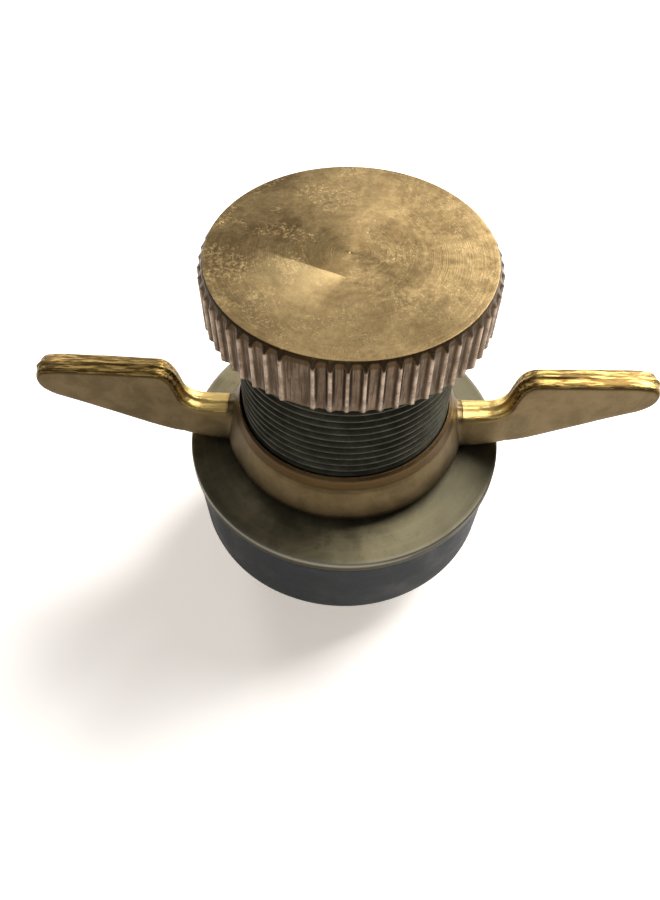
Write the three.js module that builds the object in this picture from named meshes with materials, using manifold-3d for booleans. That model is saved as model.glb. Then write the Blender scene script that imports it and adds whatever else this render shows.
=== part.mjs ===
// Expanding pipe test plug, 38 mm class: a hollow threaded tube carries two pressed
// steel plates with a rubber ring between them, a wing nut that squeezes the ring
// outwards, and a knurled cap that closes the tube's open end.
// Millimetres, +Z up along the tube, Z = 0 at the foot of the lock nut.
import * as THREE from 'three';
import { mergeVertices } from 'three/addons/utils/BufferGeometryUtils.js';
import Module from 'manifold-3d';

const wasm = await Module();
wasm.setup();

// ---- driving dimensions ----
const SEAT = 0.3;              // gap left between pieces that rest on each other
const RUN = 0.3;               // radial gap between threaded pieces

const TUBE_R = 10.48;          // thread crest radius, 1/2 in pipe thread
const BORE_R = 7.6;
const TUBE_CHAMFER = 0.6;

const LOCK_R = 12.6;           // lock nut: a round ring with spanner slots
const LOCK_H = 2.8;
const LOCK_CHAMFER = 0.6;
const LOCK_SLOTS = 4;
const SLOT_W = 3.0;
const SLOT_DEPTH = 0.8;

const SEAL_R = 12.0;           // fibre washer above the lock nut
const SEAL_H = 0.8;

const PLATE_R = 16.6;
const LOWER_PLATE_R = 14.7;    // smaller, so that the ring covers its edge
const PLATE_T = 1.2;
const PLATE_DISH = 0.35;       // height of the raised centre above the rim
const PLATE_SEAT_R = 11.6;     // flat seat in the centre

const RING_R = 16.25;
const RING_H = 9.15;           // height of the rubber at its outer edge
const RING_TAPER = 0.15;       // the ring is this much narrower at its foot

const NUT_RIM_R = 11.2;        // outer edge of the wing nut's top face
const NUT_MAX_R = 12.25;
const NUT_FOOT_R = 11.75;
const NUT_H = 4.6;             // from the foot to the outer edge of the top face
const NUT_LIP = 1.4;           // rise of the top face towards the thread
const WING_T = 2.7;
const WING_TIP = 31.2;

const CAP_R = 13.05;           // over the knurl's ridges
const CAP_H = 5.6;
const CAP_CHAMFER = 0.8;
const CAP_WALL = 1.2;          // thickness of the cap's top
const FLUTES = 60;
const FLUTE_DEPTH = 0.42;
const WASHER_H = 0.9;          // rubber washer inside the cap
const STEM_SHOWN = 18.5;       // upper plate's rim to the cap's lower edge

// ---- heights, built up from the foot ----
const Z_SEAL = LOCK_H + SEAT;
const Z_LOWER = Z_SEAL + SEAL_H + SEAT;               // underside of the lower plate's dish
const Z_LOWER_RIM = Z_LOWER + PLATE_DISH + PLATE_T;   // top of its rim
const Z_RING = Z_LOWER_RIM + SEAT;
const Z_UPPER_RIM = Z_RING + RING_H + SEAT;           // underside of the upper rim
const Z_PLATE_TOP = Z_UPPER_RIM + PLATE_T;
const Z_NUT = Z_PLATE_TOP + PLATE_DISH + SEAT;
const Z_CAP_TOP = Z_PLATE_TOP + STEM_SHOWN + CAP_H;
const Z_CAP = Z_CAP_TOP - CAP_H;
const Z_WASHER = Z_CAP_TOP - CAP_WALL - SEAT - WASHER_H;
const TUBE_TOP = Z_WASHER - SEAT;

const ROUND = 48;

// ---- helpers ----
const solid = (geometry) => {
  const g = geometry.clone();
  g.deleteAttribute('normal');
  g.deleteAttribute('uv');
  const m = mergeVertices(g, 1e-4);
  const index = m.index.array;
  return new wasm.Manifold(new wasm.Mesh({
    numProp: 3,
    vertProperties: Float32Array.from(m.attributes.position.array),
    triVerts: Uint32Array.from(index),
  }));
};

const geometryOf = (manifold) => {
  const mesh = manifold.getMesh();
  const g = new THREE.BufferGeometry();
  g.setAttribute('position', new THREE.BufferAttribute(new Float32Array(mesh.vertProperties), 3));
  g.setIndex(new THREE.BufferAttribute(new Uint32Array(mesh.triVerts), 1));
  g.computeVertexNormals();
  return g;
};

// A closed ring or disc turned about Z from [radius, height] pairs, run anticlockwise.
const turned = (profile, segments = ROUND) => {
  const points = [...profile, profile[0]].map(([r, z]) => new THREE.Vector2(r, z));
  const g = new THREE.LatheGeometry(points, segments);
  g.rotateX(Math.PI / 2);
  return solid(g);
};

// A flat outline pushed up along Z.
const prism = (outline, height, z) => {
  const shape = new THREE.Shape(outline.map(([x, y]) => new THREE.Vector2(x, y)));
  const g = new THREE.ExtrudeGeometry(shape, { depth: height, bevelEnabled: false });
  g.translate(0, 0, z);
  return solid(g);
};

const group = new THREE.Group();
const add = (name, manifold, color, roughness, metalness) => {
  const material = new THREE.MeshStandardMaterial({ color, roughness, metalness });
  material.name = name;
  const mesh = new THREE.Mesh(geometryOf(manifold), material);
  mesh.name = name;
  group.add(mesh);
};

const BRASS = 0xa98d58;
const BRASS_DULL = 0x8f7a4d;
const ZINC = 0x7d7c6c;
const ZINC_DARK = 0x4a4d47;

// ---- threaded tube: hollow from end to end ----
add('threaded_tube', turned([
  [BORE_R + TUBE_CHAMFER, 0], [TUBE_R - TUBE_CHAMFER, 0], [TUBE_R, TUBE_CHAMFER],
  [TUBE_R, TUBE_TOP - TUBE_CHAMFER], [TUBE_R - TUBE_CHAMFER, TUBE_TOP],
  [BORE_R + TUBE_CHAMFER, TUBE_TOP], [BORE_R, TUBE_TOP - TUBE_CHAMFER], [BORE_R, TUBE_CHAMFER],
]), ZINC_DARK, 0.45, 0.8);

// ---- lock nut: a round ring with spanner slots in its edge ----
let lockNut = turned([
  [TUBE_R + RUN, 0], [LOCK_R - LOCK_CHAMFER, 0], [LOCK_R, LOCK_CHAMFER],
  [LOCK_R, LOCK_H - LOCK_CHAMFER], [LOCK_R - LOCK_CHAMFER, LOCK_H], [TUBE_R + RUN, LOCK_H],
]);
for (let i = 0; i < LOCK_SLOTS; i += 1) {
  const slot = new THREE.BoxGeometry(SLOT_DEPTH * 2, SLOT_W, LOCK_H + 2);
  slot.translate(LOCK_R, 0, LOCK_H / 2);
  slot.rotateZ(((i + 0.5) * 2 * Math.PI) / LOCK_SLOTS);
  lockNut = lockNut.subtract(solid(slot));
}
add('lock_nut', lockNut, ZINC, 0.4, 0.85);

// ---- fibre washer under the lower plate ----
add('lower_sealing_washer', turned([
  [TUBE_R + RUN, Z_SEAL], [SEAL_R, Z_SEAL], [SEAL_R, Z_SEAL + SEAL_H], [TUBE_R + RUN, Z_SEAL + SEAL_H],
]), 0x7a3b2c, 0.8, 0);

// ---- plates: the dish points away from the rubber, up on top and down below ----
// Each point is a radius and the share of the dish's height there.
const dish = (radius) => [
  [PLATE_SEAT_R, 1], [PLATE_SEAT_R + (radius - PLATE_SEAT_R) * 0.4, 0.8],
  [PLATE_SEAT_R + (radius - PLATE_SEAT_R) * 0.7, 0.35], [radius, 0],
];
// zRim is the face of the rim that touches the rubber; sign is the way the dish points.
const plate = (radius, zRim, sign) => {
  const inner = TUBE_R + RUN;
  const under = dish(radius).map(([r, k]) => [r, zRim + sign * k * PLATE_DISH]);
  const over = dish(radius).map(([r, k]) => [r, zRim + sign * (k * PLATE_DISH + PLATE_T)]).reverse();
  const crown = zRim + sign * (PLATE_DISH + PLATE_T);
  const loop = [[inner, zRim + sign * PLATE_DISH], ...under, ...over, [inner, crown]];
  return turned(sign > 0 ? loop : loop.reverse());
};
add('lower_plate', plate(LOWER_PLATE_R, Z_LOWER_RIM, -1), ZINC, 0.38, 0.85);
add('upper_plate', plate(PLATE_R, Z_UPPER_RIM, 1), ZINC, 0.38, 0.85);

// ---- rubber ring: follows the dishes of both plates, a little narrower at its foot ----
const low = dish(LOWER_PLATE_R).map(([r, k]) => [r, Z_RING - k * PLATE_DISH]);
const high = dish(RING_R - 0.3).map(([r, k]) => [r, Z_RING + RING_H + k * PLATE_DISH]).reverse();
const ringFoot = RING_R - RING_TAPER;
add('rubber_ring', turned([
  [TUBE_R + RUN, Z_RING - PLATE_DISH], ...low, [ringFoot - 0.35, Z_RING], [ringFoot, Z_RING + 0.5],
  [RING_R, Z_RING + RING_H * 0.45], [RING_R, Z_RING + RING_H - 0.5], ...high,
  [TUBE_R + RUN, Z_RING + RING_H + PLATE_DISH],
]), 0x33383c, 0.85, 0);

// ---- wing nut: a short hub, rounded at the foot, with two flat upswept wings ----
const hub = turned([
  [TUBE_R + RUN, Z_NUT], [NUT_FOOT_R, Z_NUT], [NUT_MAX_R - 0.1, Z_NUT + 0.4], [NUT_MAX_R, Z_NUT + 1.0],
  [NUT_RIM_R + 0.65, Z_NUT + 2.7], [NUT_RIM_R + 0.15, Z_NUT + NUT_H - 0.25], [NUT_RIM_R - 0.1, Z_NUT + NUT_H],
  [TUBE_R + RUN, Z_NUT + NUT_H + NUT_LIP],
]);
// Side view of one wing as [distance from the axis, height above the nut's foot].
const wingOutline = [
  [10.9, 0.2], [12.4, 0.0], [14.5, -0.15], [16.8, -0.2], [18.4, 0.1], [20.6, 1.0], [26.3, 3.75],
  [28.4, 4.7], [29.8, 5.35], [30.8, 6.25], [WING_TIP, 7.3], [30.95, 8.3], [30.2, 8.9], [28.3, 9.1],
  [22.4, 8.95], [19.0, 8.8], [18.1, 8.5], [17.4, 7.6], [17.0, 6.3], [16.7, 5.1], [16.1, 4.3],
  [15.1, 3.85], [10.9, 3.65],
];
const wing = (side) => {
  const shape = new THREE.Shape(wingOutline.map(([x, z]) => new THREE.Vector2(x, Z_NUT + z)));
  const bevel = 0.35;
  const g = new THREE.ExtrudeGeometry(shape, {
    depth: WING_T - 2 * bevel, bevelThickness: bevel, bevelSize: bevel, bevelOffset: -bevel, bevelSegments: 1,
  });
  g.translate(0, 0, bevel - WING_T / 2);
  g.rotateX(Math.PI / 2);
  if (side < 0) g.rotateZ(Math.PI);
  return solid(g);
};
// The web thickens towards the hub, as a forging does.
const web = (side) => {
  const g = new THREE.BoxGeometry(3.4, WING_T + 1.2, 2.8);
  const p = g.attributes.position;
  for (let i = 0; i < p.count; i += 1) if (p.getX(i) > 0) p.setY(i, Math.sign(p.getY(i)) * (WING_T / 2 - 0.1));
  g.translate(12.5, 0, Z_NUT + 1.75);
  if (side < 0) g.rotateZ(Math.PI);
  return solid(g);
};
const nutBore = turned([
  [0, Z_NUT - 2], [TUBE_R + RUN, Z_NUT - 2], [TUBE_R + RUN, Z_NUT + NUT_H + 6], [0, Z_NUT + NUT_H + 6],
]);
add('wing_nut', hub.add(wing(1)).add(wing(-1)).add(web(1)).add(web(-1)).subtract(nutBore), BRASS_DULL, 0.42, 0.9);

// ---- cap washer: seals the cap against the tube's top edge ----
add('cap_washer', turned([
  [0, Z_WASHER], [TUBE_R - 0.2, Z_WASHER], [TUBE_R - 0.2, Z_WASHER + WASHER_H], [0, Z_WASHER + WASHER_H],
]), 0x26282a, 0.85, 0);

// ---- cap: straight knurl of scalloped flutes, one ridge worn away ----
const WORN_RIDGE = 42;
const fluted = [];
for (let i = 0; i < FLUTES; i += 1) {
  const step = (2 * Math.PI) / FLUTES;
  const points = [
    [0.06, i === WORN_RIDGE ? 0.86 : 0], [0.34, 1], [0.66, 1], [0.94, i + 1 === WORN_RIDGE ? 0.86 : 0],
  ];
  for (const [t, k] of points) {
    const a = (i + t) * step;
    const r = CAP_R - FLUTE_DEPTH * k;
    fluted.push([r * Math.cos(a), r * Math.sin(a)]);
  }
}
const capEnvelope = turned([
  [0, Z_CAP], [CAP_R - 0.25, Z_CAP], [CAP_R + 0.02, Z_CAP + 0.25], [CAP_R + 0.02, Z_CAP_TOP - CAP_CHAMFER],
  [CAP_R - FLUTE_DEPTH - 0.1, Z_CAP_TOP], [0, Z_CAP_TOP],
]);
const capCavity = turned([
  [0, Z_CAP - 1], [TUBE_R + RUN, Z_CAP - 1], [TUBE_R + RUN, Z_CAP_TOP - CAP_WALL],
  [0, Z_CAP_TOP - CAP_WALL],
]);
add('cap', prism(fluted, CAP_H, Z_CAP).intersect(capEnvelope).subtract(capCavity), BRASS, 0.35, 0.9);

export default group;
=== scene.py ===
"""Looks for the expanding pipe test plug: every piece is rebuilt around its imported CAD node.

Lengths in this script are millimetres until a mesh is made, and Z = 0 is the lock nut's foot.
"""
import math

import bmesh
import bpy
import numpy as np
from mathutils import Matrix, Vector


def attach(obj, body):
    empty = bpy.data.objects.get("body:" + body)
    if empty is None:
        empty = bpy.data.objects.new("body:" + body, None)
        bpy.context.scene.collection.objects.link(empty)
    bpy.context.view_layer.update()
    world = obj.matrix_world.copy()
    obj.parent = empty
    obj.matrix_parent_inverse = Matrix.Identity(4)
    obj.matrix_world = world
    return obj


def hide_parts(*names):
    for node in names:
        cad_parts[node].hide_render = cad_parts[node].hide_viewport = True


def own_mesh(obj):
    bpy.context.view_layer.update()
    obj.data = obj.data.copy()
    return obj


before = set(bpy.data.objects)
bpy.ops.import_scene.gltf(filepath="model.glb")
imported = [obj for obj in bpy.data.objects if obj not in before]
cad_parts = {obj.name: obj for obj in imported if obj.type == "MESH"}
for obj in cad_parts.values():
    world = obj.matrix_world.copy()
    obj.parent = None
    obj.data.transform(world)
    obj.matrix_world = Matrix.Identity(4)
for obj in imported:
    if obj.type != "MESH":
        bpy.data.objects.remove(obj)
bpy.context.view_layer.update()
MM = 0.001
TAU = 2 * math.pi

# ---- dimensions that repeat the CAD's ----
PITCH = 0.907  # as in the record's couplings, 28 per inch
TUBE_R = 10.48
BORE_R = 7.6
TUBE_TOP = 38.1
PIECE_BORE_R = 10.78  # the hole in every piece that slides on the tube
PLATE_R = 16.6
LOWER_PLATE_R = 14.7
PLATE_SEAT_R = 11.6
PLATE_T = 1.2
PLATE_DISH = 0.35
LOWER_RIM_TOP = 5.75
RIM_TOP = 16.7
NUT_Z = 17.35
CAP_Z = 35.2
CAP_TOP = 40.8
CAP_R = 13.05
FLUTES = 60
FLUTE_DEPTH = 0.42
WORN_RIDGE = 42


# ---- mesh helpers ----
def make(name, verts, faces, body, node):
    mesh = bpy.data.meshes.new(name)
    mesh.from_pydata([(x * MM, y * MM, z * MM) for x, y, z in verts], [], faces)
    mesh.validate()
    mesh.update()
    obj = bpy.data.objects.new(name, mesh)
    bpy.context.scene.collection.objects.link(obj)
    mesh.shade_smooth()
    dress(obj, body, node)
    return obj


def dress(obj, body, node):
    """Puts the piece under its body's empty and hides the CAD node that it replaces."""
    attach(obj, body)
    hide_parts(node)


def rounded(points, steps=5):
    """A closed loop of (r, z, fillet radius) with its corners turned into arcs."""
    out = []
    n = len(points)
    for i in range(n):
        p0 = Vector(points[i - 1][:2])
        p1 = Vector(points[i][:2])
        p2 = Vector(points[(i + 1) % n][:2])
        fillet = points[i][2] if len(points[i]) > 2 else 0
        if fillet <= 0:
            out.append(tuple(p1))
            continue
        a = (p0 - p1).normalized()
        b = (p2 - p1).normalized()
        angle = a.angle(b)
        back = min(fillet / math.tan(angle / 2), (p0 - p1).length * 0.48, (p2 - p1).length * 0.48)
        start, end = p1 + a * back, p1 + b * back
        for k in range(steps + 1):
            t = k / steps
            out.append(tuple((1 - t) ** 2 * start + 2 * t * (1 - t) * p1 + t * t * end))
    return out


def resample(loop, longest):
    """Splits the long edges of a closed loop."""
    out = []
    for i, p in enumerate(loop):
        q = loop[(i + 1) % len(loop)]
        n = max(1, int(math.ceil(math.dist(p, q) / longest)))
        out += [tuple(np.add(p, np.subtract(q, p) * k / n)) for k in range(n)]
    return out


def revolve(loop, columns, shape=None):
    """Turns a closed (r, z) loop, anticlockwise, about Z. shape(r, z, angle) can move a point."""
    verts, faces = [], []
    n = len(loop)
    for j in range(columns):
        a = TAU * j / columns
        c, s = math.cos(a), math.sin(a)
        for r, z in loop:
            if shape:
                r, z = shape(r, z, a)
            verts.append((r * c, r * s, z))
    for j in range(columns):
        k = (j + 1) % columns
        for i in range(n):
            m = (i + 1) % n
            faces.append((j * n + i, k * n + i, k * n + m, j * n + m))
    return verts, faces


def wave(freqs, amp, seed):
    """A smooth random function of angle, for turned parts that are not quite round."""
    g = np.random.default_rng(seed)
    parts = [(f, g.uniform(0.4, 1) * amp / len(freqs), g.uniform(0, TAU)) for f in freqs]
    return lambda a: sum(h * math.sin(f * a + p) for f, h, p in parts)


def attribute(obj, name, values):
    layer = obj.data.attributes.new(name, "FLOAT", "POINT")
    layer.data.foreach_set("value", np.asarray(values, np.float32))


def coords(obj):
    co = np.zeros(len(obj.data.vertices) * 3, np.float32)
    obj.data.vertices.foreach_get("co", co)
    return co.reshape(-1, 3) / MM


# ---- material helpers ----
class Nodes:
    """A short way to write a node tree."""

    def __init__(self, name):
        self.mat = bpy.data.materials.new(name)
        self.mat.use_nodes = True
        self.tree = self.mat.node_tree
        self.tree.nodes.clear()
        self.out = self.tree.nodes.new("ShaderNodeOutputMaterial")
        self.bsdf = self.tree.nodes.new("ShaderNodeBsdfPrincipled")
        self.tree.links.new(self.bsdf.outputs[0], self.out.inputs[0])
        coord = self.tree.nodes.new("ShaderNodeTexCoord")
        scale = self.tree.nodes.new("ShaderNodeVectorMath")
        scale.operation = "SCALE"
        scale.inputs["Scale"].default_value = 1 / MM
        self.tree.links.new(coord.outputs["Object"], scale.inputs[0])
        self.p = scale.outputs[0]  # the point in millimetres

    def put(self, socket, value):
        if isinstance(value, bpy.types.NodeSocket):
            self.tree.links.new(value, socket)
        else:
            socket.default_value = value

    def math(self, op, a, b=0.0, c=0.0):
        n = self.tree.nodes.new("ShaderNodeMath")
        n.operation = op
        for socket, value in zip(n.inputs, (a, b, c)):
            self.put(socket, value)
        return n.outputs[0]

    def noise(self, scale, detail=3.0, rough=0.5, vector=None, distortion=0.0, dims="3D", w=None):
        n = self.tree.nodes.new("ShaderNodeTexNoise")
        n.noise_dimensions = dims
        if dims != "1D":
            self.put(n.inputs["Vector"], vector or self.p)
        if w is not None:
            self.put(n.inputs["W"], w)
        n.inputs["Scale"].default_value = scale
        n.inputs["Detail"].default_value = detail
        n.inputs["Roughness"].default_value = rough
        n.inputs["Distortion"].default_value = distortion
        return n.outputs[0]

    def times(self, a, b):
        return self.math("MULTIPLY", a, b)

    def ramp(self, value, low, high, a=0.0, b=1.0):
        n = self.tree.nodes.new("ShaderNodeMapRange")
        n.interpolation_type = "SMOOTHSTEP"
        names = ("Value", "From Min", "From Max", "To Min", "To Max")
        for key, v in zip(names, (value, low, high, a, b)):
            self.put(n.inputs[key], v)
        return n.outputs[0]

    def mix(self, factor, a, b, blend="MIX"):
        n = self.tree.nodes.new("ShaderNodeMix")
        n.data_type = "RGBA"
        n.blend_type = blend
        self.put(n.inputs[0], factor)
        self.put(n.inputs[6], a if isinstance(a, bpy.types.NodeSocket) else (*a, 1))
        self.put(n.inputs[7], b if isinstance(b, bpy.types.NodeSocket) else (*b, 1))
        return n.outputs[2]

    def axes(self):
        n = self.tree.nodes.new("ShaderNodeSeparateXYZ")
        self.tree.links.new(self.p, n.inputs[0])
        return n.outputs[0], n.outputs[1], n.outputs[2]

    def radius(self):
        x, y, _ = self.axes()
        return self.math("SQRT", self.math("ADD", self.times(x, x), self.times(y, y)))

    def attr(self, name):
        n = self.tree.nodes.new("ShaderNodeAttribute")
        n.attribute_name = name
        return n.outputs["Fac"]

    def stretched(self, scale, turn=(0, 0, 0)):
        n = self.tree.nodes.new("ShaderNodeMapping")
        n.inputs["Scale"].default_value = scale
        n.inputs["Rotation"].default_value = turn
        self.tree.links.new(self.p, n.inputs["Vector"])
        return n.outputs[0]

    def scratches(self, turn, length=0.35, density=2.2):
        """Thin straight marks in one direction: stretched noise, thresholded, broken up by a mask."""
        lines = self.noise(1.0, 2.0, 0.6, self.stretched((length, 9.0, 9.0), (0, 0, turn)))
        mask = self.noise(density * 0.12, 2.0, 0.5, self.stretched((1, 1, 1), (0, 0, turn + 1)))
        marks = self.ramp(lines, 0.72, 0.77)
        return self.times(marks, self.ramp(mask, 0.5, 0.62))

    def bump(self, height, distance, strength):
        n = self.tree.nodes.new("ShaderNodeBump")
        n.inputs["Strength"].default_value = strength
        n.inputs["Distance"].default_value = distance * MM
        self.put(n.inputs["Height"], height)
        return n.outputs[0]

    def finish(self, color, rough, metallic, normal=None, **fixed):
        self.put(self.bsdf.inputs["Base Color"], color)
        self.put(self.bsdf.inputs["Roughness"], rough)
        self.put(self.bsdf.inputs["Metallic"], metallic)
        if normal is not None:
            self.put(self.bsdf.inputs["Normal"], normal)
        for key, value in fixed.items():
            self.bsdf.inputs[key.replace("_", " ")].default_value = value
        return self.mat


def brass_face():
    """Turned face: fine rings, stains, nicks and hairline scratches, anisotropic round the axis."""
    m = Nodes("brass_turned_face")
    x, y, _ = m.axes()
    r = m.radius()
    rings = m.noise(2.2, 6.0, 0.72, dims="1D", w=r)
    fine = m.noise(9.0, 3.0, 0.6, dims="1D", w=r)
    blotch = m.noise(0.14, 5.0, 0.62, distortion=0.8)
    cloud = m.noise(0.5, 6.0, 0.68)
    speck = m.ramp(m.noise(2.6, 4.0, 0.7), 0.60, 0.68)
    base = m.mix(m.ramp(blotch, 0.36, 0.62), (0.135, 0.088, 0.036), (0.27, 0.19, 0.085))
    base = m.mix(m.ramp(cloud, 0.46, 0.66, 0, 0.5), base, (0.12, 0.077, 0.03))
    base = m.mix(m.times(speck, 0.5), base, (0.085, 0.052, 0.02))
    base = m.mix(m.ramp(rings, 0.35, 0.7, 0, 0.14), base, (0.34, 0.245, 0.12))
    grain = m.noise(1.7, 6.0, 0.75)
    base = m.mix(1.0, base, m.ramp(grain, 0.36, 0.66, 0.82, 1.14), "MULTIPLY")
    # painted reflection: a bright sector of the turned face with one sharp side, and a darker sector
    # beyond that side, both about a point a little off the centre
    left, back = m.math("MULTIPLY_ADD", x, -1.0, -0.3), m.math("ADD", y, 3.1)
    phi = m.math("ARCTAN2", back, left)
    away = m.math("SQRT", m.math("ADD", m.times(left, left), m.times(back, back)))
    inside = m.times(m.ramp(away, 9.5, 3.5), m.ramp(away, 0.0, 0.8))
    soft = m.math("ADD", phi, m.times(m.math("SUBTRACT", cloud, 0.5), 0.12))
    sheen_highlight = m.times(m.ramp(soft, 0.43, 0.38), m.ramp(phi, -1.2, 0.3))
    dark = m.times(m.ramp(soft, 0.38, 0.43), m.ramp(phi, 2.4, 0.5))
    base = m.mix(m.times(m.times(sheen_highlight, inside), 0.5), base, (0.60, 0.45, 0.22))
    # painted shade: the dark side of the same painted reflection
    dark = m.times(dark, m.ramp(away, 10.5, 3.0))
    base = m.mix(m.times(dark, 0.6), base, (0.095, 0.06, 0.023))
    # painted shade: the face darkens towards its front edge (-y), with a ragged border from the blotch
    # noise
    low = m.math("ADD", y, m.times(m.math("SUBTRACT", blotch, 0.5), 14.0))
    base = m.mix(m.ramp(low, -1.0, -8.5, 0, 0.6), base, (0.105, 0.072, 0.033))
    marks = m.scratches(0.5)
    for turn, length, density in ((-0.35, 0.3, 2.6), (1.5, 0.4, 2.0), (2.3, 0.3, 3.1)):
        marks = m.math("MAXIMUM", marks, m.scratches(turn, length, density))
    nick = m.ramp(m.noise(1.3, 4.0, 0.7, m.stretched((0.7, 1.5, 1), (0, 0, 0.6))), 0.69, 0.73)
    scuff = m.ramp(m.noise(3.4, 5.0, 0.75), 0.53, 0.63)
    scuff = m.times(scuff, m.ramp(m.noise(0.3, 3.0, 0.5), 0.45, 0.62))
    base = m.mix(m.times(scuff, 0.26), base, (0.44, 0.33, 0.17))
    base = m.mix(m.times(marks, 0.5), base, (0.55, 0.43, 0.24))
    base = m.mix(m.times(nick, 0.5), base, (0.60, 0.48, 0.28))
    rough = m.math("ADD", m.ramp(cloud, 0.3, 0.7, 0.42, 0.54), m.times(fine, 0.08))
    rough = m.math("ADD", rough, m.times(speck, 0.12))
    height = m.math("ADD", m.times(rings, 0.6), m.times(fine, 0.4))
    height = m.math("ADD", height, m.times(cloud, 2.5))
    height = m.math("SUBTRACT", height, m.times(marks, 0.7))
    height = m.math("SUBTRACT", height, m.times(nick, 2.0))
    height = m.math("SUBTRACT", height, m.times(scuff, 0.8))
    normal = m.bump(height, 0.03, 0.7)
    tangent = m.tree.nodes.new("ShaderNodeTangent")
    tangent.direction_type = "RADIAL"
    tangent.axis = "Z"
    m.put(m.bsdf.inputs["Tangent"], tangent.outputs[0])
    return m.finish(base, rough, 1.0, normal, Anisotropic=0.35)


def brass_knurl():
    """Knurled wall: pinkish tarnish in the flutes, painted shade on the flute flanks, rubbed ridges,
    smeared bottom burr.
    """
    m = Nodes("brass_knurl")
    _, _, z = m.axes()
    ridge = m.attr("ridge")
    stain = m.noise(0.5, 5.0, 0.65)
    streak = m.noise(1.0, 5.0, 0.7, m.stretched((5.5, 5.5, 0.3)))
    grit = m.noise(6.0, 4.0, 0.7)
    base = m.mix(m.ramp(stain, 0.35, 0.7), (0.085, 0.056, 0.034), (0.17, 0.12, 0.08))
    base = m.mix(m.ramp(streak, 0.46, 0.62, 0, 0.75), base, (0.04, 0.025, 0.014))
    # painted shade on the flanks between each ridge and the flute bottom
    flank_shade = m.times(m.ramp(ridge, 0.02, 0.2), m.ramp(ridge, 0.75, 0.4))
    base = m.mix(m.times(flank_shade, 0.65), base, (0.028, 0.018, 0.01))
    rubbed = m.times(m.ramp(ridge, 0.55, 1.0), m.ramp(m.noise(0.8, 3.0, 0.7), 0.38, 0.6, 0.2, 0.9))
    base = m.mix(rubbed, base, (0.36, 0.275, 0.205))
    base = m.mix(m.ramp(grit, 0.6, 0.75, 0, 0.45), base, (0.08, 0.05, 0.03))
    top = m.ramp(z, CAP_TOP - 0.95, CAP_TOP - 0.7)
    base = m.mix(m.times(top, 0.9), base, (0.05, 0.029, 0.011))
    foot = m.ramp(z, CAP_Z + 0.5, CAP_Z + 0.1, 0.0, 0.5)
    base = m.mix(foot, base, (0.12, 0.08, 0.045))
    rough = m.math("ADD", m.ramp(streak, 0.3, 0.7, 0.34, 0.5), m.times(ridge, -0.1))
    height = m.math("ADD", m.times(streak, 0.7), m.times(grit, 0.4))
    return m.finish(base, rough, 0.95, m.bump(height, 0.03, 0.7))


def brass_stamped():
    """Hot-stamped brass: matt grained faces, rubbed golden edges, painted shade low on the hub, on the
    hub's top lip and on the edges' shoulders, and a painted highlight in the wing roots.
    """
    m = Nodes("brass_stamped")
    edge = m.attr("edge")
    grain = m.noise(5.0, 5.0, 0.65)
    mottled = m.noise(0.35, 5.0, 0.6, distortion=0.4)
    drag = m.noise(1.0, 4.0, 0.6, m.stretched((0.5, 4.0, 4.0)))
    base = m.mix(m.ramp(mottled, 0.35, 0.68), (0.105, 0.075, 0.035), (0.175, 0.127, 0.064))
    base = m.mix(m.ramp(grain, 0.55, 0.75, 0, 0.4), base, (0.11, 0.08, 0.035))
    base = m.mix(m.times(m.ramp(edge, 0.3, 0.8), 0.9), base, (0.40, 0.265, 0.08))
    base = m.mix(m.times(edge, m.ramp(drag, 0.42, 0.56, 0, 0.9)), base, (0.07, 0.04, 0.012))
    # painted shade: a dark line where the faces round over into the edges
    shoulder_shade = m.times(m.ramp(edge, 0.05, 0.25), m.ramp(edge, 0.75, 0.4))
    base = m.mix(m.times(shoulder_shade, 0.7), base, (0.055, 0.033, 0.012))
    x, _, z = m.axes()
    out = m.math("ABSOLUTE", x)
    # painted highlight: bright gold on the edges in the wing roots, 12 to 17 mm from the axis
    trough_highlight = m.times(m.times(m.ramp(out, 17.2, 16.2), m.ramp(out, 11.9, 12.6)), edge)
    base = m.mix(m.times(trough_highlight, 0.75), base, (0.86, 0.62, 0.22))
    # painted shade: dark low on the hub and the wing roots, within 3 mm of the nut's foot, near the plate
    low_hub_shade = m.times(m.ramp(z, NUT_Z + 3.0, NUT_Z + 0.3), m.ramp(m.radius(), 14.0, 12.8))
    base = m.mix(m.times(low_hub_shade, 0.85), base, (0.045, 0.032, 0.015))
    # painted shade on the hub's top lip beside the tube
    lip_shade = m.times(m.ramp(z, NUT_Z + 4.45, NUT_Z + 4.85), m.ramp(m.radius(), 11.6, 11.2))
    base = m.mix(m.times(lip_shade, 0.8), base, (0.085, 0.05, 0.02))
    rough = m.math("SUBTRACT", m.ramp(mottled, 0.3, 0.7, 0.46, 0.56), m.times(edge, 0.1))
    height = m.math("ADD", m.times(grain, 0.6), m.times(mottled, 1.5))
    height = m.math("ADD", height, m.times(m.times(drag, edge), 2.6))
    return m.finish(base, rough, 1.0, m.bump(height, 0.04, 0.55))


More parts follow.
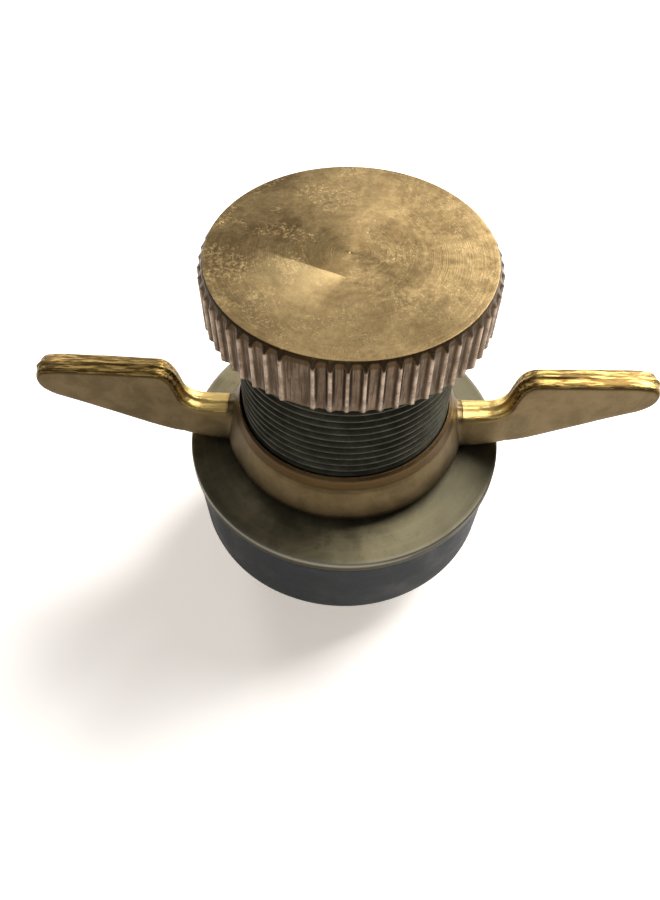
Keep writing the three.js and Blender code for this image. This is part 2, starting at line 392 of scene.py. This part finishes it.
def zinc(name, tint=(0.26, 0.225, 0.135), dark=(0.15, 0.128, 0.076), rough=(0.5, 0.62)):
    """Satin zinc plate: cloudy olive grey with fine press and handling marks."""
    m = Nodes(name)
    cloud = m.noise(0.22, 6.0, 0.62, distortion=0.5)
    spots = m.noise(1.5, 5.0, 0.7)
    fine = m.noise(14.0, 3.0, 0.6)
    rings = m.noise(1.4, 4.0, 0.6, dims="1D", w=m.radius())
    base = m.mix(m.ramp(cloud, 0.32, 0.7), dark, tint)
    base = m.mix(m.ramp(spots, 0.52, 0.72, 0, 0.4), base, tuple(c * 0.55 for c in dark))
    base = m.mix(m.ramp(rings, 0.5, 0.7, 0, 0.2), base, tuple(min(1, c * 1.3) for c in tint))
    marks = m.math("MAXIMUM", m.scratches(0.8, 0.3, 2.4), m.scratches(-0.9, 0.35, 2.0))
    edge = m.attr("edge")
    base = m.mix(m.times(marks, 0.4), base, tuple(min(1, c * 1.6) for c in tint))
    # painted highlight along the rim's top corner
    base = m.mix(m.times(edge, 0.6), base, (0.30, 0.285, 0.235))
    # painted shade on the rim's wall below the top corner
    base = m.mix(m.times(m.attr("side"), 0.85), base, (0.03, 0.028, 0.022))
    # painted shade: darker towards +x, on the side where the key light's reflection lands
    x, _, _ = m.axes()
    base = m.mix(m.ramp(x, 0.0, 12.0, 0, 0.82), base, (0.05, 0.045, 0.029))
    # painted shade round the foot of the hub, with a ragged border from the cloud noise
    near = m.math("ADD", m.radius(), m.times(m.math("SUBTRACT", cloud, 0.5), 4.0))
    base = m.mix(m.ramp(near, 14.2, 12.2, 0, 0.42), base, (0.04, 0.036, 0.022))
    r = m.math("ADD", m.ramp(cloud, 0.3, 0.7, rough[0], rough[1]), m.times(fine, 0.06))
    r = m.math("SUBTRACT", r, m.times(edge, 0.08))
    height = m.math("ADD", m.times(spots, 0.6), m.times(fine, 0.35))
    height = m.math("SUBTRACT", height, m.times(marks, 0.5))
    return m.finish(base, r, 0.95, m.bump(height, 0.02, 0.6))


def thread_steel():
    """Dark zinc on the thread: roots painted near black as shade, a broken painted highlight on the
    crests.
    """
    m = Nodes("thread_steel")
    crest = m.attr("crest")
    cloud = m.noise(0.4, 5.0, 0.65, distortion=0.4)
    grit = m.noise(5.0, 4.0, 0.7)
    base = m.mix(m.ramp(cloud, 0.35, 0.7), (0.038, 0.036, 0.025), (0.075, 0.07, 0.05))
    # painted shade in the thread roots
    base = m.mix(m.ramp(crest, 0.35, 0.0, 0, 0.7), base, (0.02, 0.019, 0.013))
    # painted highlight on the crests, broken up by noise
    crest_highlight = m.times(m.ramp(crest, 0.86, 1.0), m.ramp(m.noise(1.0, 4.0, 0.7), 0.42, 0.62, 0.1, 1.0))
    base = m.mix(m.times(crest_highlight, 0.32), base, (0.13, 0.125, 0.095))
    base = m.mix(m.ramp(grit, 0.62, 0.75, 0, 0.4), base, (0.05, 0.036, 0.02))
    rough = m.ramp(crest, 0.0, 1.0, 0.7, 0.5)
    return m.finish(base, rough, 0.9, m.bump(grit, 0.03, 0.6))


def rubber(name="rubber_slate", tint=(0.0115, 0.0132, 0.0148)):
    """Moulded rubber: dull, faintly bloomed, with grains and handling smears."""
    m = Nodes(name)
    bloom = m.noise(0.3, 5.0, 0.6, distortion=0.3)
    grain = m.noise(7.0, 4.0, 0.65)
    smear = m.noise(1.0, 4.0, 0.6, m.stretched((0.8, 0.8, 3.5)))
    base = m.mix(m.ramp(bloom, 0.35, 0.7), tint, tuple(c * 1.7 for c in tint))
    base = m.mix(m.ramp(smear, 0.5, 0.75, 0, 0.35), base, tuple(c * 2.4 for c in tint))
    base = m.mix(m.ramp(grain, 0.62, 0.78, 0, 0.4), base, tuple(c * 0.5 for c in tint))
    rough = m.ramp(bloom, 0.3, 0.7, 0.55, 0.74)
    height = m.math("ADD", m.times(grain, 0.8), smear)
    return m.finish(base, rough, 0.0, m.bump(height, 0.04, 0.5), Specular_IOR_Level=0.22)


def fibre():
    """Red vulcanised fibre: layered edge, faint cloth print on the faces."""
    m = Nodes("red_fibre")
    layers = m.noise(1.0, 3.0, 0.6, m.stretched((0.4, 0.4, 14.0)))
    cloud = m.noise(0.6, 5.0, 0.6)
    weave = m.noise(4.0, 2.0, 0.5, m.stretched((1.0, 4.0, 1.0)))
    base = m.mix(m.ramp(cloud, 0.35, 0.7), (0.16, 0.035, 0.022), (0.24, 0.06, 0.035))
    base = m.mix(m.ramp(layers, 0.5, 0.7, 0, 0.5), base, (0.09, 0.02, 0.015))
    rough = m.ramp(weave, 0.3, 0.7, 0.55, 0.75)
    return m.finish(base, rough, 0.0, m.bump(m.math("ADD", layers, weave), 0.03, 0.5))


# ---- thread form ----
def crest_of(z, a, phase=0.0):
    """1 on the crest, 0 in the root, for a right-hand thread."""
    t = ((z / PITCH) - a / TAU + phase) % 1.0
    tri = 1 - abs(2 * t - 1)
    return min(1.0, max(0.0, (tri - 0.12) / 0.72))


def thread_rows(z0, z1):
    """Heights at 14 to a pitch."""
    n = int(round((z1 - z0) / PITCH * 14))
    return [z0 + (z1 - z0) * i / n for i in range(n + 1)]


# ---- threaded tube ----
THREAD_DEPTH = 0.42
LEAD = 0.55

rows = thread_rows(LEAD, TUBE_TOP - LEAD)
tube_loop = (
    [(BORE_R + 0.5, 0.0), (8.6, 0.0), (9.4, 0.0), (TUBE_R - LEAD, 0.02)]
    + [(TUBE_R, z) for z in rows]
    + [(TUBE_R - LEAD, TUBE_TOP - 0.02), (9.3, TUBE_TOP), (8.5, TUBE_TOP), (BORE_R + 0.5, TUBE_TOP)]
    + [(BORE_R + 0.03, TUBE_TOP - 0.5)]
    + [(BORE_R, TUBE_TOP - 1 - (TUBE_TOP - 2) * i / 30) for i in range(31)]
    + [(BORE_R + 0.03, 0.5)]
)


def tube_shape(r, z, a):
    if r >= TUBE_R - 1e-6:
        fade = min(1.0, (z - LEAD) / 0.8 + 0.35, (TUBE_TOP - LEAD - z) / 0.8 + 0.35)
        lead = max(0.0, 0.45 * (1 - min(z - LEAD, TUBE_TOP - LEAD - z) / 0.8))
        r = min(r - THREAD_DEPTH * (1 - crest_of(z, a)) * max(fade, 0.0), TUBE_R - lead)
    return r, z


verts, faces = revolve(tube_loop, 160, tube_shape)
tube = make("threaded_tube_body", verts, faces, "stem", "threaded_tube")
co = coords(tube)
radial = np.hypot(co[:, 0], co[:, 1])
height = (radial - (TUBE_R - THREAD_DEPTH)) / THREAD_DEPTH
attribute(tube, "crest", np.where(radial > 9.7, height, 0.35))
tube.data.materials.append(thread_steel())

# ---- plates: pressed discs with a rounded outer edge and a sheared rim ----


def plate_loop(radius, z_rim, sign):
    """z_rim is the rubber-side face of the rim. sign is the way the dish points."""
    span = radius - PLATE_SEAT_R
    dish = [(PLATE_SEAT_R + span * k / 6, math.cos(math.pi / 2 * k / 6) ** 2) for k in range(6)]
    under = [(r, z_rim + sign * k * PLATE_DISH) for r, k in dish]
    over = [(r, z_rim + sign * (k * PLATE_DISH + PLATE_T)) for r, k in dish]
    outer = [(radius, z_rim, 0.25), (radius, z_rim + sign * PLATE_T, 0.3)]
    loop = [(PIECE_BORE_R, z_rim + sign * PLATE_DISH, 0.15)] + under + outer + over[::-1]
    loop += [(PIECE_BORE_R, z_rim + sign * (PLATE_DISH + PLATE_T), 0.15)]
    loop = rounded(loop, 6)
    return resample(loop if sign > 0 else loop[::-1], 0.5)


def plate(name, radius, z_rim, sign, body, node, seed):
    wobble = wave((2, 3, 5, 9), 0.05, seed)
    dent = wave((2, 3, 4), 0.07, seed + 1)

    def shape(r, z, a):
        out = max(0.0, (r - 12.0) / 5.0)
        return r + min(0.0, wobble(a) - 0.04) * (r > radius - 0.8), z + dent(a) * out * out * 0.6

    v, f = revolve(plate_loop(radius, z_rim, sign), 200, shape)
    obj = make(name, v, f, body, node)
    c = coords(obj)
    rr = np.hypot(c[:, 0], c[:, 1])
    top = z_rim + sign * PLATE_T
    # edge marks the rim's top corner, where zinc() paints a highlight; side marks the wall below it, where
    # zinc() paints shade
    corner = np.hypot(rr - (radius - 0.1), c[:, 2] - (top - sign * 0.1))
    attribute(obj, "edge", np.clip(1.2 - corner / 0.35, 0, 1))
    on_wall = np.clip((rr - (radius - 0.2)) / 0.1, 0, 1)
    attribute(obj, "side", on_wall * (np.abs(c[:, 2] - top) > 0.3))
    return obj


zinc_plate = zinc("zinc_plate")
upper = plate("upper_plate_pressing", PLATE_R, RIM_TOP - PLATE_T, 1, "pressure_plate", "upper_plate", 11)
lower = plate("lower_plate_pressing", LOWER_PLATE_R, LOWER_RIM_TOP, -1, "stem", "lower_plate", 23)
for o in (upper, lower):
    o.data.materials.append(zinc_plate)

# ---- rubber ring ----
RING_Z0, RING_Z1 = 6.05, 15.2


def ring_loop():
    wall = []
    for i in range(25):
        t = i / 24
        seam = 0.04 * math.exp(-(((t - 0.52) * 90) ** 2))
        r = 16.05 + 0.12 * min(1.0, t / 0.45) + seam
        wall.append((r, RING_Z0 + 0.95 + (RING_Z1 - RING_Z0 - 1.4) * t))
    rises = [(15.9, -0.02), (15.2, 0.01), (14.2, 0.12), (12.9, 0.28), (11.6, 0.34), (10.85, 0.34)]
    top = [(r, RING_Z1 + rise) for r, rise in rises]
    low = [(r, RING_Z0 - (z - RING_Z1)) for r, z in top[:0:-1]]
    turn = [(15.6, RING_Z0 + 0.08), (15.85, RING_Z0 + 0.28), (15.98, RING_Z0 + 0.56)]
    return resample([*low, *turn] + wall + [(16.13, RING_Z1 - 0.16), *top], 0.6)


ring_out = wave((2, 3, 5, 8), 0.10, 5)


def ring_shape(r, z, a):
    return r + (min(0.0, ring_out(a) * 0.5 - 0.03) if r > 15.1 else 0), z


verts, faces = revolve(ring_loop(), 180, ring_shape)
ring = make("rubber_ring_moulding", verts, faces, "stem", "rubber_ring")
ring.data.materials.append(rubber())
# the plate comes down 2.73 mm on a ring that stands 9.85 mm above its fixed end
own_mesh(ring)

# ---- lower sealing washer ----
SEAL_Z0, SEAL_Z1, SEAL_R = 3.1, 3.9, 12.0
seal_corners = [
    (PIECE_BORE_R, SEAL_Z0, 0.08), (SEAL_R, SEAL_Z0, 0.12),
    (SEAL_R, SEAL_Z1, 0.12), (PIECE_BORE_R, SEAL_Z1, 0.08),
]
seal_out = wave((3, 5, 7), 0.06, 9)


def seal_shape(r, z, a):
    return r + (min(0.0, seal_out(a)) if r > 11.5 else 0), z


verts, faces = revolve(resample(rounded(seal_corners), 0.5), 150, seal_shape)
seal = make("fibre_washer", verts, faces, "stem", "lower_sealing_washer")
seal.data.materials.append(fibre())

# ---- lock nut: a round ring with four spanner slots ----
LOCK_R = 12.6
LOCK_H = 2.8
SLOT_HALF = 1.5
SLOT_DEPTH = 0.8


def lock_shape(r, z, a):
    if r > 11.9:
        b = (a % (math.pi / 2)) - math.pi / 4
        into = SLOT_HALF - abs(math.sin(b)) * LOCK_R
        r -= SLOT_DEPTH * min(1.0, max(0.0, into / 0.18 + 0.5)) * min(1.0, (r - 11.9) / 0.3)
        r -= 0.35 * max(0.0, 1 - min(z, LOCK_H - z) / 0.35) * (r > 12.2)
    elif r < 10.9:
        r = 10.62 + 0.26 * crest_of(z, a, 0.5) + 0.35 * max(0.0, 1 - min(z, LOCK_H - z) / 0.5)
    return r, z


wall_heights = [i / 16 * LOCK_H for i in range(17)]
lock_loop = (
    [(10.8, 0.0), (11.2, 0.0), (11.6, 0.0), (11.85, 0.0)]
    + [(LOCK_R, max(0.02, min(LOCK_H - 0.02, z))) for z in wall_heights]
    + [(11.85, LOCK_H), (11.6, LOCK_H), (11.2, LOCK_H), (10.8, LOCK_H)]
    + [(10.8, LOCK_H - 0.08 - i * (LOCK_H - 0.16) / 30) for i in range(31)]
)
verts, faces = revolve(lock_loop, 480, lock_shape)
lock = make("lock_nut_ring", verts, faces, "stem", "lock_nut")
co = coords(lock)
# the lock nut's outer wall gets zinc()'s painted highlight, at 0.4
attribute(lock, "edge", np.clip((np.hypot(co[:, 0], co[:, 1]) - 12.45) / 0.1, 0, 1) * 0.4)
lock.data.materials.append(zinc("zinc_nut", (0.26, 0.25, 0.2), (0.14, 0.135, 0.11), (0.32, 0.44)))

# ---- cap washer ----
loop = resample(rounded([(0.02, 38.25), (10.28, 38.25, 0.15), (10.28, 39.25, 0.15), (0.02, 39.25)]), 0.5)


def print_ring(r, z, _):
    """The tube's end has pressed a shallow ring into the underside."""
    return r, z + (0.08 if 7.8 < r < 10.0 and z < 38.4 else 0)


verts, faces = revolve(loop, 120, print_ring)
washer = make("cap_rubber_washer", verts, faces, "cap_seal", "cap_washer")
washer.data.materials.append(rubber("rubber_washer", (0.012, 0.012, 0.013)))

# ---- cap ----
CAP_COLUMNS = FLUTES * 16
FACE_R = 12.5


def flute(a):
    """Depth of the flute at this angle, and how close the point is to a ridge."""
    t = (a / TAU * FLUTES) % 1.0
    near = int(round(a / TAU * FLUTES)) % FLUTES
    from_ridge = min(t, 1 - t)
    if near == WORN_RIDGE:
        return FLUTE_DEPTH * 0.86, 0.0
    k = min(1.0, max(0.0, (from_ridge - 0.06) / 0.26))
    side_of_worn = abs((a / TAU * FLUTES) - WORN_RIDGE) < 1.0
    depth = FLUTE_DEPTH * (0.86 if side_of_worn else 1.0) * (math.sin(k * math.pi / 2) ** 1.2)
    uneven = 0.04 * math.sin(near * 2.4) + 0.03 * math.sin(near * 5.1)
    return max(0.0, depth + uneven * (1 - k)), 1 - k


def cap_shape(r, z, a):
    if r > FACE_R + 0.01:
        depth, _ = flute(a)
        cone = FACE_R + (CAP_TOP - z) * 0.62
        low = CAP_R - 0.3 + (z - CAP_Z) * 1.6
        nib = 0.05 * math.sin(a * 37) * math.exp(-(z - CAP_Z) / 0.25)
        r = min(CAP_R - depth + nib * 0.4, cone, low + nib)
    elif r > 10.5 and CAP_Z + 0.3 < z < 39.4 and r < 11.2:
        r = 10.62 + 0.26 * crest_of(z, a, 0.5)
    return r, z


def cap_loop():
    inner_z = 39.58
    loop = [(10.9 + 0.35, CAP_Z + 0.02), (11.6, CAP_Z), (12.2, CAP_Z)]
    wall = [0.0, 0.06, 0.13, 0.22, 0.35, 0.6, 1.0, 1.6, 2.2, 2.8, 3.4, 4.0, 4.4, 4.6]
    wall += [4.7 + 0.05 * i for i in range(18)]
    loop += [(CAP_R, CAP_Z + w) for w in wall]
    loop += [(FACE_R - 0.03, CAP_TOP - 0.005)]
    loop += [(FACE_R - 0.1 - i * (FACE_R - 0.12) / 60, CAP_TOP) for i in range(61)]
    loop += [(0.02, inner_z), (3, inner_z), (6, inner_z), (9, inner_z), (10.7, inner_z)]
    loop += [(10.8, inner_z - 0.1 - i * (inner_z - 0.1 - CAP_Z - 0.35) / 52) for i in range(53)]
    return loop


verts, faces = revolve(cap_loop(), CAP_COLUMNS, cap_shape)
cap = make("cap_knurled", verts, faces, "cap", "cap")
co = coords(cap)
ang = np.arctan2(co[:, 1], co[:, 0]) % TAU
rr = np.hypot(co[:, 0], co[:, 1])
attribute(cap, "ridge", [flute(a)[1] if r > FACE_R - 0.05 else 0 for a, r in zip(ang, rr)])
cap.data.materials.append(brass_face())
cap.data.materials.append(brass_knurl())
for poly in cap.data.polygons:
    c = poly.center / MM
    poly.material_index = 0 if c.z > CAP_TOP - 0.012 else 1

# ---- wing nut: hub and wings joined into one stamped body ----
WING_T = 2.7
# one wing from the side, as (distance from the axis, height above the nut's foot)
OUTLINE = [
    (8.6, 0.2), (10.9, 0.12), (12.4, 0.0), (14.5, -0.15), (16.8, -0.2), (18.4, 0.1), (20.6, 1.0),
    (26.3, 3.75), (28.4, 4.7), (29.8, 5.35), (30.8, 6.25), (31.15, 7.3), (30.95, 8.3), (30.2, 8.9),
    (28.3, 9.1), (22.4, 8.95), (19.0, 8.8), (18.1, 8.5), (17.4, 7.6), (17.0, 6.3), (16.7, 5.1),
    (16.1, 4.3), (15.1, 3.85), (12.5, 3.65), (8.6, 3.6),
]


def smooth_closed(points):
    """Catmull-Rom through the outline, with straight runs kept straight."""
    pts = np.array(points, float)
    n = len(pts)
    out = []
    for i in range(n):
        p0, p1, p2, p3 = pts[i - 1], pts[i], pts[(i + 1) % n], pts[(i + 2) % n]
        d = np.linalg.norm(p2 - p1)
        m1 = (p2 - p0) / max(np.linalg.norm(p2 - p0), 1e-9) * min(d, np.linalg.norm(p1 - p0))
        m2 = (p3 - p1) / max(np.linalg.norm(p3 - p1), 1e-9) * min(d, np.linalg.norm(p3 - p2))
        steps = max(2, int(d / 0.35))
        for k in range(steps):
            t = k / steps
            h = (2 * t**3 - 3 * t**2 + 1, t**3 - 2 * t**2 + t, -2 * t**3 + 3 * t**2, t**3 - t**2)
            out.append(h[0] * p1 + h[1] * m1 + h[2] * p2 + h[3] * m2)
    return np.array(out)


def wing_solid(side, seed):
    line = smooth_closed(OUTLINE)
    n = len(line)
    ahead = np.roll(line, -2, 0) - np.roll(line, 2, 0)
    ahead /= np.linalg.norm(ahead, axis=1)[:, None]
    normal = np.stack([ahead[:, 1], -ahead[:, 0]], 1)
    wob = wave((3, 5, 9, 14, 23), 0.10, seed)
    wob2 = wave((4, 7, 11, 19), 0.10, seed + 3)
    verts = []
    h = WING_T / 2
    # across the edge, as [place in the thickness, growth outwards], with the flash line in the middle
    section = [
        (-h, -0.55), (-h + 0.05, -0.28), (-h + 0.2, -0.1), (-h + 0.45, -0.02), (-0.42, 0.0), (-0.22, 0.05),
        (-0.1, 0.22), (0.06, 0.24), (0.2, 0.06), (0.4, 0.0), (h - 0.45, -0.02), (h - 0.2, -0.1),
        (h - 0.05, -0.28), (h, -0.55),
    ]
    for i, p in enumerate(line):
        u = TAU * i / n
        for k, (t, off) in enumerate(section):
            flash = 5 <= k <= 8
            grow = off - 0.02 + (wob(u) * 0.9 if flash else wob2(u) * 0.25)
            if flash:
                grow = max(grow, off * 0.2 - 0.02)
            q = p + normal[i] * grow
            # the tip, foot and top stay inside the solid wing
            x, z = min(q[0], 31.17), min(max(q[1], -0.19), 9.12)
            verts.append((side * x, -side * (t + 0.05 * wob2(u)), z + NUT_Z))
    m = len(section)
    faces = []
    for i in range(n):
        j = (i + 1) % n
        for k in range(m - 1):
            faces.append((i * m + k, j * m + k, j * m + k + 1, i * m + k + 1))
    faces.append(tuple(i * m for i in range(n))[::-1])
    faces.append(tuple(i * m + m - 1 for i in range(n)))
    return verts, faces


def hub_loop():
    z = NUT_Z
    return resample(rounded([
        (10.72, z, 0.2), (11.6, z, 0.25), (12.15, z + 0.55, 0.4), (12.22, z + 1.15, 0.6),
        (11.85, z + 2.7, 0.8), (11.5, z + 4.0, 0.4), (11.22, z + 4.5, 0.25), (11.0, z + 5.1, 0.15),
        (10.78, z + 5.75, 0.12), (10.62, z + 5.96, 0.05),
    ]), 0.35)


def union_mesh(parts, name, voxel):
    bm = bmesh.new()
    for verts, faces in parts:
        made = [bm.verts.new((x, y, z)) for x, y, z in verts]
        for f in faces:
            bm.faces.new([made[i] for i in f])
    bmesh.ops.recalc_face_normals(bm, faces=bm.faces)
    mesh = bpy.data.meshes.new(name)
    bm.to_mesh(mesh)
    bm.free()
    obj = bpy.data.objects.new(name, mesh)
    bpy.context.scene.collection.objects.link(obj)
    mod = obj.modifiers.new("join", "REMESH")
    mod.mode = "VOXEL"
    mod.voxel_size = voxel
    bpy.context.view_layer.update()
    ev = obj.evaluated_get(bpy.context.evaluated_depsgraph_get())
    joined = bpy.data.meshes.new_from_object(ev)
    obj.modifiers.clear()
    obj.data = joined
    return obj


hub_round = wave((2, 3, 5, 8), 0.07, 31)


def hub_shape(r, z, a):
    return r + (hub_round(a) * 0.5 if r > 11 else 0), z


hub = revolve(hub_loop(), 220, hub_shape)
nut = union_mesh([hub, wing_solid(1, 41), wing_solid(-1, 57)], "wing_nut_stamping", 0.13)


def smooth_where(obj, weight, passes):
    """Laplacian smoothing, weighted per vertex."""
    mesh = obj.data
    co = np.zeros(len(mesh.vertices) * 3, np.float32)
    mesh.vertices.foreach_get("co", co)
    co = co.reshape(-1, 3).astype(float)
    edges = np.zeros(len(mesh.edges) * 2, np.int32)
    mesh.edges.foreach_get("vertices", edges)
    edges = edges.reshape(-1, 2)
    count = np.zeros(len(co))
    np.add.at(count, edges[:, 0], 1)
    np.add.at(count, edges[:, 1], 1)
    w = weight(co)[:, None]
    for _ in range(passes):
        total = np.zeros_like(co)
        np.add.at(total, edges[:, 0], co[edges[:, 1]])
        np.add.at(total, edges[:, 1], co[edges[:, 0]])
        co += (total / count[:, None] - co) * w
    mesh.vertices.foreach_set("co", co.astype(np.float32).ravel())
    mesh.update()
    return co


co = smooth_where(nut, lambda c: np.full(len(c), 0.4), 2)
# the web thickens towards the hub, most of all low down
ax, ay = np.abs(co[:, 0]), np.abs(co[:, 1])
root = np.clip(1 - (ax - 11.6) / 5.6, 0, 1) * np.clip((ax - 10.4) / 1.2, 0, 1)
low_down = np.clip(1 - (co[:, 2] - NUT_Z) / 4.0, 0, 1)
reach = np.minimum(ay / 1.3, np.clip((6.5 - ay) / 5.2, 0, 1))
co[:, 1] += np.sign(co[:, 1]) * 1.45 * root * low_down * reach
nut.data.vertices.foreach_set("co", co.astype(np.float32).ravel())


def junction(c):
    """Most where a wing meets the hub."""
    from_joint = (np.hypot(c[:, 0], c[:, 1]) - 12.9) / 1.3
    return 0.5 * np.exp(-(from_joint**2)) * (np.abs(c[:, 1]) < 5.0) * (np.abs(c[:, 0]) > 9)


co = smooth_where(nut, junction, 14)
# the bore is cut clean again, with the thread showing at its wall
rr = np.hypot(co[:, 0], co[:, 1])
ang = np.arctan2(co[:, 1], co[:, 0]) % TAU
crest = np.array([crest_of(z, a, 0.5) for z, a in zip(co[:, 2], ang)])
target = 10.6 + 0.22 * crest
scale = np.where(rr < 10.88, target / rr, 1.0)
co[:, :2] *= scale[:, None]
nut.data.vertices.foreach_set("co", (co * MM).astype(np.float32).ravel())
nut.data.update()
nut.data.shade_smooth()
# rubbed edges: the narrow outline of the wings, and the hub's top rim
zz = co[:, 2] - NUT_Z
ax = np.abs(co[:, 0])
near = np.full(len(co), 9.0)
for p in smooth_closed(OUTLINE):
    if p[0] > 11.5:
        d = np.hypot(ax - p[0], zz - p[1])
        near = np.minimum(near, d)
flat_face = np.abs(co[:, 1]) > WING_T / 2 - 0.12
edge = np.clip((0.62 - near) / 0.25, 0, 1) * (ax > 12.2) * np.where(flat_face, 0.25, 1.0)
edge *= np.where(zz < 2.6 + 0.2 * (ax - 12), 0.45, 1.0)
rim = np.clip((zz - 4.2) / 0.25, 0, 1) * np.clip((5.1 - zz) / 0.2, 0.2, 1)
rim *= (ax < 12.6) * (np.hypot(co[:, 0], co[:, 1]) < 12.4)
attribute(nut, "edge", np.maximum(edge, rim * 0.25))
dress(nut, "wing_nut", "wing_nut")
nut.data.materials.append(brass_stamped())

# ---- floor, light and camera ----
floor_mesh = bpy.data.meshes.new("floor")
S = 1.2
DROP = -2e-5  # just under the foot, so that the two faces don't coincide
floor_mesh.from_pydata([(-S, -S, DROP), (S, -S, DROP), (S, S, DROP), (-S, S, DROP)], [], [(0, 1, 2, 3)])
floor = bpy.data.objects.new("floor", floor_mesh)
bpy.context.scene.collection.objects.link(floor)
paper = Nodes("floor_paper")
tone = paper.mix(paper.ramp(paper.noise(0.05, 3.0), 0.3, 0.7), (0.90, 0.885, 0.87), (0.93, 0.92, 0.91))
glow = dict(Emission_Strength=0.42, Emission_Color=(1, 0.90, 0.80, 1))
floor.data.materials.append(paper.finish(tone, 0.85, 0.0, **glow))


def area(name, place, aim, size, power, color):
    light = bpy.data.lights.new(name, "AREA")
    light.energy = power
    light.color = color
    light.shape = "RECTANGLE"
    light.size = size
    light.size_y = size
    obj = bpy.data.objects.new(name, light)
    bpy.context.scene.collection.objects.link(obj)
    obj.location = Vector(place)
    obj.rotation_euler = (Vector(aim) - Vector(place)).to_track_quat("-Z", "Y").to_euler()


area("key", (0.26, 0.24, 0.34), (0, 0, 0.02), 0.32, 5.6, (1.0, 0.985, 0.96))
area("back_left", (-0.22, 0.34, 0.20), (0, 0, 0.02), 0.14, 0.5, (1.0, 0.97, 0.93))
area("front_fill", (-0.12, -0.36, 0.30), (0, 0, 0.02), 0.22, 0.25, (0.96, 0.98, 1.0))

world = bpy.data.worlds.new("studio")
world.use_nodes = True
bpy.context.scene.world = world
world.node_tree.nodes["Background"].inputs[0].default_value = (0.93, 0.96, 1.0, 1)
world.node_tree.nodes["Background"].inputs[1].default_value = 0.17

# Camera: a close, steep view from the front.
SENSOR_MM = 36
LENS_MM = 31.0504
SHIFT = 4.92 / 900  # of the frame's long side
PITCH_DOWN, YAW, ROLL = 0.92771, 0.00583, 0.00811
TURN = 0.0348  # the wings stand turned by this much in the view
EYE = Vector((-2.356, -52.393, 66.363 + RIM_TOP))
camera = bpy.data.cameras.new("camera")
camera.sensor_width = SENSOR_MM
camera.lens = LENS_MM
camera.shift_x = SHIFT
camera.clip_start, camera.clip_end = 0.001, 10
cam = bpy.data.objects.new("camera", camera)
bpy.context.scene.collection.objects.link(cam)
level = math.cos(PITCH_DOWN)
fwd = Vector((math.sin(YAW) * level, math.cos(YAW) * level, -math.sin(PITCH_DOWN)))
right = Vector((math.cos(YAW), -math.sin(YAW), 0))
up = right.cross(fwd)
rolled = math.cos(ROLL) * right + math.sin(ROLL) * up
right, up = rolled, -math.sin(ROLL) * right + math.cos(ROLL) * up
turn = Matrix.Rotation(TURN, 3, "Z")
axes = Matrix((turn @ right, turn @ up, -(turn @ fwd))).transposed()
cam.matrix_world = Matrix.Translation(turn @ EYE * MM) @ axes.to_4x4()
bpy.context.scene.camera = cam
bpy.context.scene.view_settings.view_transform = "Standard"
